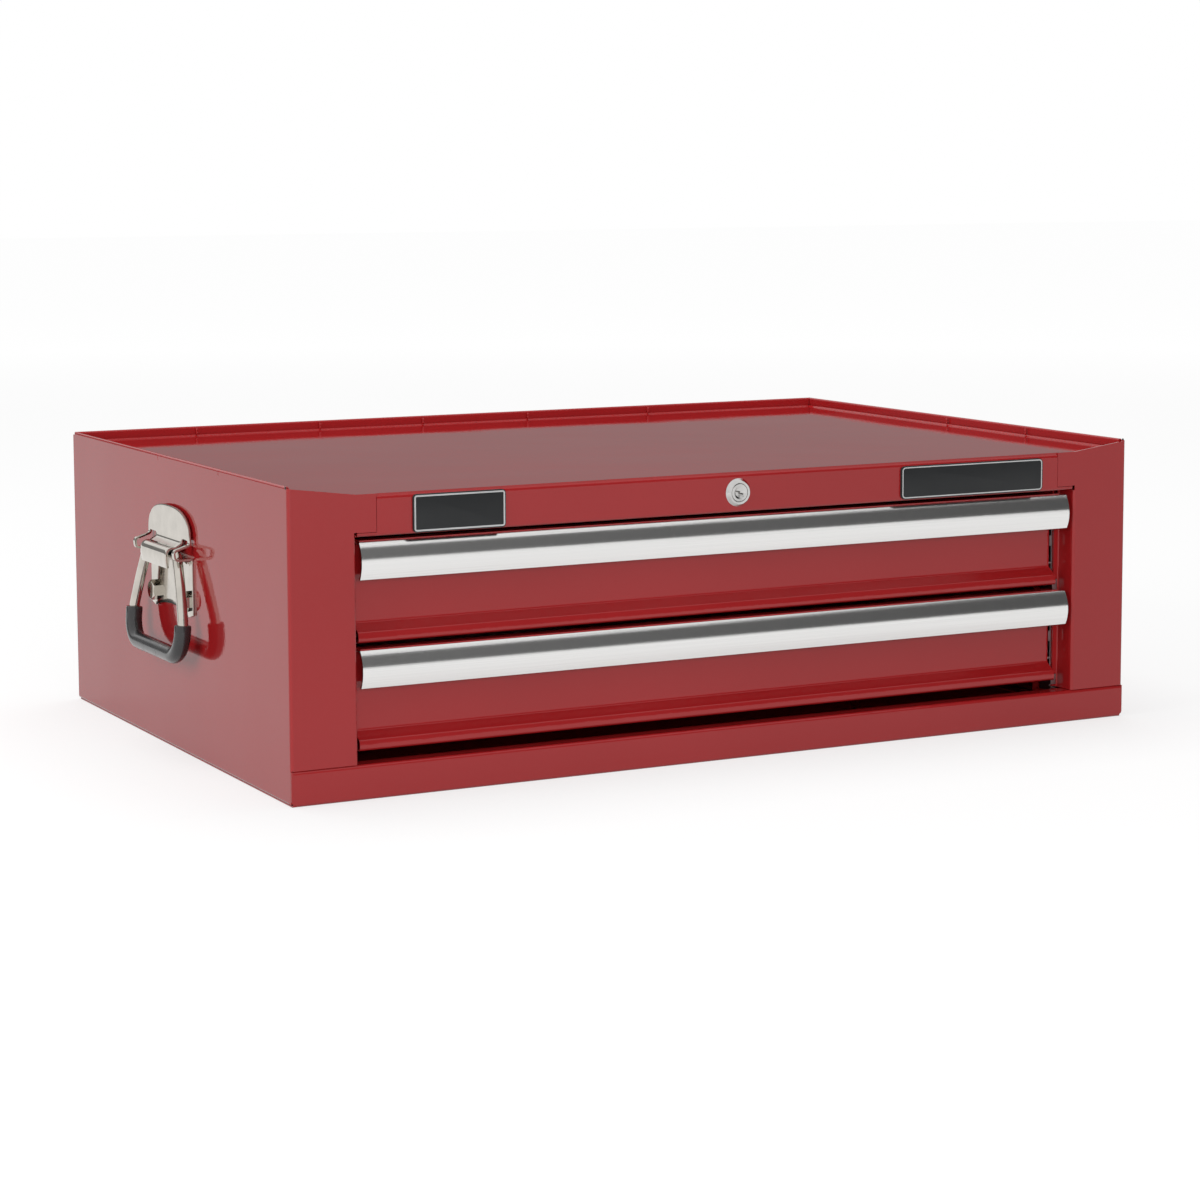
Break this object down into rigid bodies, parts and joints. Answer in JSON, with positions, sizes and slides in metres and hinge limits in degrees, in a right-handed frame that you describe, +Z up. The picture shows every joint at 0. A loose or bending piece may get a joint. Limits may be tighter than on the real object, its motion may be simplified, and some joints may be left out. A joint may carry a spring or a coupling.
{
  "type": "tool chest",
  "caption": "Low sheet-steel tool chest with wide drawers on ball slides behind full-width metal pulls, a rear locking bar, a shallow top tray and drop handles on its sides.",
  "frame": {"origin": "centre of the footprint on the flat underside of the base pan", "axes": "+X to the right seen from the front, -Y out of the front, +Z up"},
  "size_m": [0.7194, 0.4572, 0.213],
  "materials": {
    "red_enamel": "glossy deep red baked enamel on sheet steel",
    "zinc_plate": "zinc plated steel",
    "ball_steel": "polished hardened steel",
    "pull_aluminium": "bright drawn and anodised aluminium",
    "lock_chrome": "chrome plated die casting",
    "handle_chrome": "chrome plated steel",
    "grip_vinyl": "black dipped vinyl"
  },
  "bodies": {
    "case": {"left_side": "red_enamel", "right_side": "red_enamel", "back_panel": "red_enamel", "top_panel": "red_enamel", "base_pan": "red_enamel", "front_upright_left": "red_enamel", "front_upright_right": "red_enamel", "rear_upright_left": "red_enamel", "rear_upright_right": "red_enamel", "lower_slide_outer_left": "zinc_plate", "lower_slide_outer_right": "zinc_plate", "upper_slide_outer_left": "zinc_plate", "upper_slide_outer_right": "zinc_plate", "lock_housing": "lock_chrome", "lock_nut": "zinc_plate", "rod_bracket": "zinc_plate", "lock_bar_guides": "zinc_plate", "left_handle_bracket": "handle_chrome", "left_handle_bolts": "handle_chrome", "left_handle_nuts": "zinc_plate", "right_handle_bracket": "handle_chrome", "right_handle_bolts": "handle_chrome", "right_handle_nuts": "zinc_plate"},
    "lower_drawer": {"lower_drawer_front": "red_enamel", "lower_drawer_tray": "red_enamel", "lower_drawer_pull": "pull_aluminium", "lower_drawer_catch": "zinc_plate", "lower_slide_inner_left": "zinc_plate", "lower_slide_inner_right": "zinc_plate"},
    "upper_drawer": {"upper_drawer_front": "red_enamel", "upper_drawer_tray": "red_enamel", "upper_drawer_pull": "pull_aluminium", "upper_drawer_catch": "zinc_plate", "upper_slide_inner_left": "zinc_plate", "upper_slide_inner_right": "zinc_plate"},
    "lower_cage_left": {"lower_slide_cage_left": "zinc_plate", "lower_slide_balls_left": "ball_steel"},
    "lower_cage_right": {"lower_slide_cage_right": "zinc_plate", "lower_slide_balls_right": "ball_steel"},
    "upper_cage_left": {"upper_slide_cage_left": "zinc_plate", "upper_slide_balls_left": "ball_steel"},
    "upper_cage_right": {"upper_slide_cage_right": "zinc_plate", "upper_slide_balls_right": "ball_steel"},
    "lock_cylinder": {"lock_core": "lock_chrome", "lock_rod": "zinc_plate", "lock_crank": "zinc_plate"},
    "lock_bar": {"lock_bar": "zinc_plate"},
    "left_bail": {"left_bail": "handle_chrome", "left_grip": "grip_vinyl"},
    "right_bail": {"right_bail": "handle_chrome", "right_grip": "grip_vinyl"}
  },
  "joints": [
    {"name": "lower_drawer_slide", "type": "slide", "parent": "case", "child": "lower_drawer", "axis": [0, -1, 0], "range_m": [0, 0.3]},
    {"name": "upper_drawer_slide", "type": "slide", "parent": "case", "child": "upper_drawer", "axis": [0, -1, 0], "range_m": [0, 0.3]},
    {"name": "lower_cage_left_roll", "type": "slide", "parent": "case", "child": "lower_cage_left", "axis": [0, -1, 0], "range_m": [0, 0.15]},
    {"name": "lower_cage_right_roll", "type": "slide", "parent": "case", "child": "lower_cage_right", "axis": [0, -1, 0], "range_m": [0, 0.15]},
    {"name": "upper_cage_left_roll", "type": "slide", "parent": "case", "child": "upper_cage_left", "axis": [0, -1, 0], "range_m": [0, 0.15]},
    {"name": "upper_cage_right_roll", "type": "slide", "parent": "case", "child": "upper_cage_right", "axis": [0, -1, 0], "range_m": [0, 0.15]},
    {"name": "lock_turn", "type": "hinge", "parent": "case", "child": "lock_cylinder", "pos_m": [0, -0.22, 0.191], "axis": [0, -1, 0], "range_deg": [0, 90]},
    {"name": "lock_bar_lift", "type": "slide", "parent": "case", "child": "lock_bar", "axis": [0, 0, 1], "range_m": [0, 0.01272]},
    {"name": "left_bail_swing", "type": "hinge", "parent": "case", "child": "left_bail", "pos_m": [-0.3482, -0.003, 0.1455], "axis": [0, 1, 0], "range_deg": [0, 140]},
    {"name": "right_bail_swing", "type": "hinge", "parent": "case", "child": "right_bail", "pos_m": [0.3482, -0.003, 0.1455], "axis": [0, -1, 0], "range_deg": [0, 140]}
  ],
  "couplings": [
    {"joint": "lower_cage_left_roll", "follows": "lower_drawer_slide", "ratio": 0.5},
    {"joint": "lower_cage_right_roll", "follows": "lower_drawer_slide", "ratio": 0.5},
    {"joint": "upper_cage_left_roll", "follows": "upper_drawer_slide", "ratio": 0.5},
    {"joint": "upper_cage_right_roll", "follows": "upper_drawer_slide", "ratio": 0.5},
    {"joint": "lock_turn", "follows": "lock_bar_lift", "rad_per_m": 123.41}
  ]
}
